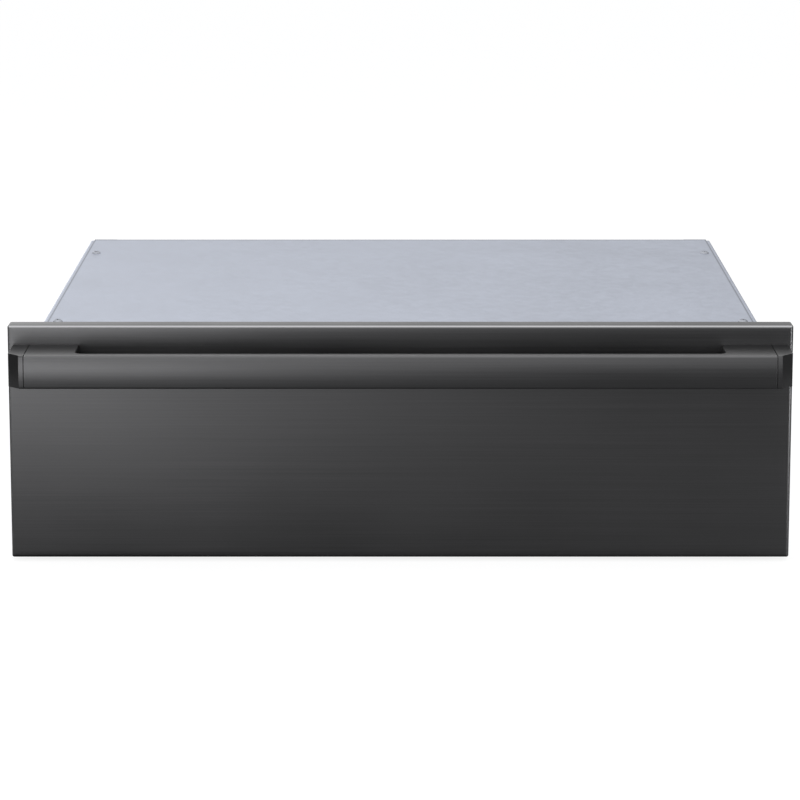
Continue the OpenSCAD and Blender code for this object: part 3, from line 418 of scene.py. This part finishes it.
black_plastic = finish("black_plastic", moulded, {
    "Colour": srgb(34, 34, 36), "Grain": 0.4, "Roughness": 0.5}, bump=0.2)
dress(black_plastic, "limit_thermostat")


# ---- Controls and wiring ----
# Four satin grey keys and a smoked lens in a black moulded fascia, with the board behind
# them in a zinc-coated box. Sleeved leads run to the heater and to a terminal block by the
# cord's gland.

dress(galvanised, "control_box")
dress(black_plastic, "control_fascia", "cord_gland")
dress(steatite, "terminal_block")

key_plastic = finish("key_plastic", moulded, {
    "Colour": srgb(120, 121, 124), "Grain": 0.3, "Roughness": 0.4}, bump=0.1)
dress(key_plastic, "power_button", "temperature_down_button", "temperature_up_button", "timer_button")

smoked = finish("smoked", moulded, {"Colour": srgb(14, 14, 17), "Grain": 0.2, "Roughness": 0.08})
dress(smoked, "display_lens")

board = finish("board", moulded, {
    "Colour": srgb(22, 92, 48), "Grain": 1, "Contrast": 0.3, "Roughness": 0.35}, bump=0.2)
dress(board, "control_board")

sleeve = finish("sleeve", moulded, {
    "Colour": srgb(38, 38, 40), "Grain": 1.2, "Contrast": 0.6, "Roughness": 0.7},
    bump=0.6, bump_depth=0.0004)
dress(sleeve, "wiring_harness")


# ---- Top cover and rear screws ----
# A flat sheet of the chassis' steel closes the top, with a zinc-plated screw near each
# corner. Its colour is painted darker near its sides and rear, as shade at its edges.

cover_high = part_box("top_cover")[1]
side_shade_width, rear_shade_width = 0.0022, 0.009
edge_shade_tone = 0.5           # the colour's part that is left at the very edge


def painted_edge_shade(tree, place, colour):
    """Paints shade along the cover's sides and its rear: darkens a colour near them. The distance to each
    gives a smooth rise from the edge's tone to 1, and the two are multiplied."""
    along = add(tree, "ShaderNodeSeparateXYZ", {"Vector": place}).outputs
    to_side = math_of(tree, "SUBTRACT", cover_high.x, math_of(tree, "ABSOLUTE", along["X"]))
    to_rear = math_of(tree, "SUBTRACT", cover_high.y, along["Y"])
    side_tone = fade(tree, to_side, 0, side_shade_width, edge_shade_tone, 1)
    rear_tone = fade(tree, to_rear, 0, rear_shade_width, edge_shade_tone, 1)
    return scaled(tree, colour, math_of(tree, "MULTIPLY", side_tone, rear_tone))


# The cover's colour has painted shade along its sides and rear.
cover_zinc = finish("cover_zinc", zinc_coat, zinc_values, over=painted_edge_shade, **zinc_shine)
dress(cover_zinc, "top_cover")

screw_zinc = finish("screw_zinc", brushed, {
    "Colour": srgb(168, 171, 178), "Lines": (300, 300, 300), "Contrast": 0.2, "Roughness": 0.42},
    bump=0.1, Metallic=0.9, Specular_Tint=(0.3, 0.3, 0.3, 1))
dress(screw_zinc, "top_cover_screws")
dress(zinc_plate, "rear_panel_screws")


# ---- Drawer ----
# A deep-drawn stainless pan hangs by its rim on three rails, screwed to the slides and the
# front. A darker shutter slides across its vent slots. Rubber stops meet the shut drawer.

dress(stainless, "drawer_pan", "left_drawer_rail", "right_drawer_rail", "rear_drawer_rail")
dress(zinc_plate, "drawer_screws", "shutter_rivets")

shutter_steel = finish("shutter_steel", brushed, {
    "Colour": srgb(122, 122, 124), "Lines": (4, 900, 900), "Contrast": 0.1, "Roughness": 0.35},
    bump=0.04, grain=True, Metallic=1, Anisotropic=0.4)
dress(shutter_steel, "vent_shutter")

rubber = finish("rubber", moulded, {"Colour": srgb(30, 30, 30), "Grain": 0.5, "Roughness": 0.8}, bump=0.2)
dress(rubber, "front_bumpers")


# ---- Front panel ----
# One sheet of graphite-tinted stainless steel, brushed from side to side and folded back
# on all four sides of its face. It hooks over a stainless liner, with a batt between.

dress(stainless, "front_liner")
dress(fibre, "front_insulation")

panel_low, panel_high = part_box("front_panel")
fold = 0.003
skin_thickness = 0.0015
corner = 0.002
least_corner = 0.0003        # the corners of the inner lines stay this round, so that no points meet
flank_margin = 0.004         # how far before the fold's rear edge its flank has a line of points
face_margin = 0.004          # how far inside the fold the face has a line of points
side_highlight = 0.22              # the painted highlight runs along the fold's top, this much at its sides, and not below
highlight_sharpness = 3
highlight_gain = 5.0            # what the full painted highlight adds to the colour, in parts of it


def rounded_ring(half_a, half_b, radius, steps=7):
    """Points round a rectangle with quarter-circle corners, and the turn of each about its corner. The
    corner's middle is the half size less the radius, with the corner's signs. Its arc runs one quarter turn
    about that."""
    turn = (np.arange(4)[:, None] + np.linspace(0, 1, steps)).ravel() * np.pi / 2
    sign_a = np.repeat([1, -1, -1, 1], steps)
    sign_b = np.repeat([1, 1, -1, -1], steps)
    return (sign_a * (half_a - radius) + radius * np.cos(turn),
            sign_b * (half_b - radius) + radius * np.sin(turn), turn)


def skin(name, points, highlight_marks=None, sharp=32, weld=1e-6, sliver=1e-7):
    """A closed mesh over a grid of points, rows by columns, with one face to a cell. The last column is
    joined to the first, and the first and the last row are closed with one face each. Edges past the sharp
    angle, in degrees, stay crisp. highlight_marks, one number to a point, goes to the attribute "edge" and
    says where a highlight is painted into the colour."""
    rows, columns = points.shape[:2]
    index = np.arange(rows * columns).reshape(rows, columns)
    index = np.hstack([index, index[:, :1]])
    cells = np.stack([index[:-1, :-1], index[1:, :-1], index[1:, 1:], index[:-1, 1:]], -1).reshape(-1, 4)
    ends = [index[0, :columns].tolist(), index[-1, :columns][::-1].tolist()]
    mesh = bpy.data.meshes.new(name)
    mesh.from_pydata(points.reshape(-1, 3).tolist(), [], cells.tolist() + ends)
    if highlight_marks is not None:
        highlight_marks = np.broadcast_to(highlight_marks, (rows, columns)).ravel()
        mesh.attributes.new("edge", "FLOAT", "POINT").data.foreach_set("value", highlight_marks)
    work = bmesh.new()
    work.from_mesh(mesh)
    bmesh.ops.remove_doubles(work, verts=work.verts, dist=weld)
    bmesh.ops.dissolve_degenerate(work, edges=work.edges, dist=sliver)
    bmesh.ops.recalc_face_normals(work, faces=work.faces)
    work.to_mesh(mesh)
    work.free()
    mesh.polygons.foreach_set("use_smooth", np.ones(len(mesh.polygons), bool))
    mesh.set_sharp_from_angle(angle=math.radians(sharp))
    return put_in_scene(name, mesh)


def stand_for(piece, node, body, material):
    """The piece takes the place of a CAD node, rides on its body and has its finish."""
    piece.data.materials.append(material)
    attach(piece, body)
    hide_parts(node)


quarter_steps = 9
quarter = np.linspace(0, np.pi / 2, quarter_steps)


def folded_profile(inwards):
    """One surface of the sheet, this far inside the outer one: along the fold's flank from its rear, round
    a quarter turn whose radius is the fold's less that, and onto the face. Returns how far each point lies
    in from the panel's outline, and where it is from front to back."""
    radius = fold - inwards
    inset = inwards + np.concatenate([[0, 0], radius * (1 - np.cos(quarter)), [fold + face_margin]])
    depth = np.concatenate([[panel_high.y, panel_high.y - flank_margin],
                            panel_low.y + fold - radius * np.sin(quarter), [panel_low.y + inwards]])
    return inset, depth


outer_inset, outer_depth = folded_profile(0)
inner_inset, inner_depth = folded_profile(skin_thickness)
inset = np.concatenate([outer_inset[::-1], inner_inset])[:, None]
depth = np.concatenate([outer_depth[::-1], inner_depth])[:, None]
half_width = (panel_high.x - panel_low.x) / 2
half_height = (panel_high.z - panel_low.z) / 2
panel_middle = (panel_high.z + panel_low.z) / 2
across, up, turn = rounded_ring(half_width - inset, half_height - inset,
                                np.maximum(corner - inset, least_corner))
panel_points = np.stack([across, np.broadcast_to(depth, across.shape), up + panel_middle], -1)

# The painted highlight is strongest halfway round the fold. Round the panel it goes with how far up the
# fold faces, so it is strongest along the top.
fold_highlight = np.sin(2 * quarter)[::-1] ** highlight_sharpness
fold_highlight = np.concatenate([[0], fold_highlight, [0, 0], np.zeros(len(inner_inset))])[:, None]
panel_highlight = np.clip(side_highlight + (1 - side_highlight) * np.sin(turn), 0, 1)

# A painted highlight: the colour times one plus the mark times the gain
painted_edge_highlight, given = new_effect("painted_edge_highlight", {"Colour": grey, "Edge": 0.0, "Gain": 1.0})
lightened = varied(painted_edge_highlight, 1, given["Edge"], given["Gain"])
put_out(painted_edge_highlight, Color=scaled(painted_edge_highlight, given["Colour"], lightened))


def painted_highlight(tree, place, colour):
    """Paints a highlight: lightens a colour where the piece's own marks say."""
    edge = add(tree, "ShaderNodeAttribute", attribute_name="edge").outputs["Fac"]
    return add(tree, "ShaderNodeGroup", {"Colour": colour, "Edge": edge, "Gain": highlight_gain},
               node_tree=painted_edge_highlight).outputs["Color"]


steel_values = {"Colour": srgb(78, 78, 79), "Lines": (3, 800, 800), "Contrast": 0.24, "Roughness": 0.31,
                "Spread": 0.05}
steel_shine = {"bump": 0.1, "grain": True, "Metallic": 1, "Anisotropic": 0.35}
# The panel's colour has a painted highlight along its fold.
graphite = finish("graphite", brushed, steel_values, over=painted_highlight, Specular_Tint=(0.7, 0.7, 0.7, 1),
                  **steel_shine)
panel = skin("front_panel_skin", panel_points, highlight_marks=fold_highlight * panel_highlight)
stand_for(panel, "front_panel", "drawer", graphite)


# ---- Handle ----
# A solid bar of the same steel, with a bowed face. A slot milled down through it makes room
# for the fingers. Screws through a backing bar inside the panel hold it.

dress(zinc_plate, "handle_backing_bar", "handle_screws")

bar_low, bar_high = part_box("handle_bar")
bow = 0.066                  # radius of the bowed face
bar_edge = 0.0022            # radius of the rounded edges above and below it
bar_eased = 0.0006           # how wide the edges at the slot and the ends are rounded
edge_steps, bow_steps = 9, 15
slot_half = 0.3105
grip = 0.0145                # thickness of the bar in front of the slot
slot_corner = 0.008
corner_margin = 0.01         # how far past its corner the slot's wall has a line of points
top_highlight = 0.14               # how bright the painted highlight along the upper edge is, as a part of the panel fold's

# The bar's colour has a painted highlight along its upper edge.
bar_steel = finish("bar_steel", brushed, steel_values, over=painted_highlight, **steel_shine)

bar_depth = bar_high.y - bar_low.y
bar_half = (bar_high.z - bar_low.z) / 2
bar_middle = (bar_high.z + bar_low.z) / 2
edge_up = bar_half - bar_edge
edge_back = bow - math.sqrt((bow - bar_edge) ** 2 - edge_up ** 2)
lean = math.asin(edge_up / (bow - bar_edge))


def half_section(backs):
    """The upper half of the bar's section, for each row of backs, which are depths on its flat top. An arc
    whose middle is at edge_back and edge_up touches the top and the bow, and the bow runs on from it to the
    middle of the face. Returns depth behind the face's foremost line, and height."""
    turn = np.linspace(0, np.pi / 2 - lean, edge_steps)
    sweep = np.linspace(lean, 0, bow_steps)[1:]
    face_deep = np.concatenate([edge_back - bar_edge * np.sin(turn), bow * (1 - np.cos(sweep))])
    face_high = np.concatenate([edge_up + bar_edge * np.cos(turn), bow * np.sin(sweep)])
    deep = np.hstack([backs, np.tile(face_deep, (len(backs), 1))])
    high = np.concatenate([np.full(backs.shape[1], bar_half), face_high])
    return deep, np.broadcast_to(high, deep.shape)


def ease(piece, width, segments=2, sharp=35):
    """Rounds a piece's edges past the sharp angle, in degrees."""
    bevel = piece.modifiers.new("eased_edges", "BEVEL")
    bevel.width = width
    bevel.segments = segments
    bevel.limit_method = "ANGLE"
    bevel.angle_limit = math.radians(sharp)


# From the bar's right end to the slot, round the slot's front corner, and on to its front wall
right = np.concatenate([[bar_high.x, slot_half], slot_half - slot_corner * (1 - np.cos(quarter)),
                        [slot_half - slot_corner - corner_margin]])
rear = np.concatenate([[bar_depth, bar_depth], grip + slot_corner * (1 - np.sin(quarter)), [grip]])
stations = np.concatenate([-right, right[::-1]])
rear = np.concatenate([rear, rear[::-1]])
deep, high = half_section(np.stack([rear, np.minimum(rear, grip + slot_corner)], -1))
ring_deep = np.hstack([deep, deep[:, -2::-1]])
ring_high = np.hstack([high, -high[:, -2::-1]])
ring_across = np.broadcast_to(stations[:, None], ring_deep.shape)
bar_points = np.stack([ring_across, bar_low.y + ring_deep, bar_middle + ring_high], -1)
# A painted highlight round the upper edge's arc, strongest halfway round it
upper_highlight = top_highlight * np.sin(np.linspace(0, np.pi, edge_steps))
bar_highlight = np.concatenate([[0, 0], upper_highlight, np.zeros(ring_deep.shape[1] - 2 - edge_steps)])

handle = skin("handle_grip", bar_points, highlight_marks=bar_highlight)
ease(handle, bar_eased)
stand_for(handle, "handle_bar", "drawer", bar_steel)


# ---- End caps ----
# A block of the same steel closes each end of the handle, out to the panel's sides. It has
# the bar's section, and its outer face is bevelled in front, to a straight upright edge.

cap_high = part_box("right_end_cap")[1]
bevel_wide, bevel_deep = 0.0114, 0.0164
cap_gap = 0.0003             # the seam between the bar and a cap
cap_eased = 0.0005

cap_black = finish("cap_black", brushed, {
    "Colour": srgb(78, 78, 79), "Lines": (3, 800, 800), "Contrast": 0.2, "Roughness": 0.32},
    bump=0.1, grain=True, Metallic=1, Anisotropic=0.4)

(deep,), (high,) = half_section(np.array([[bar_depth, bevel_deep]]))
seam = np.full(len(deep), bar_high.x + cap_gap)
outer = np.full(len(deep), cap_high.x - bevel_wide)
outer[:2] = cap_high.x       # the section's first two points lie behind the bevel
for side, name in ((-1, "left_end_cap"), (1, "right_end_cap")):
    corners = ((seam, -high), (outer, -high), (outer, high), (seam, high))
    cap_points = np.stack([np.stack([side * x, bar_low.y + deep, bar_middle + z], -1)
                           for x, z in corners], 1)
    cap = skin(name + "_shell", cap_points)
    ease(cap, cap_eased)
    stand_for(cap, name, "drawer", cap_black)
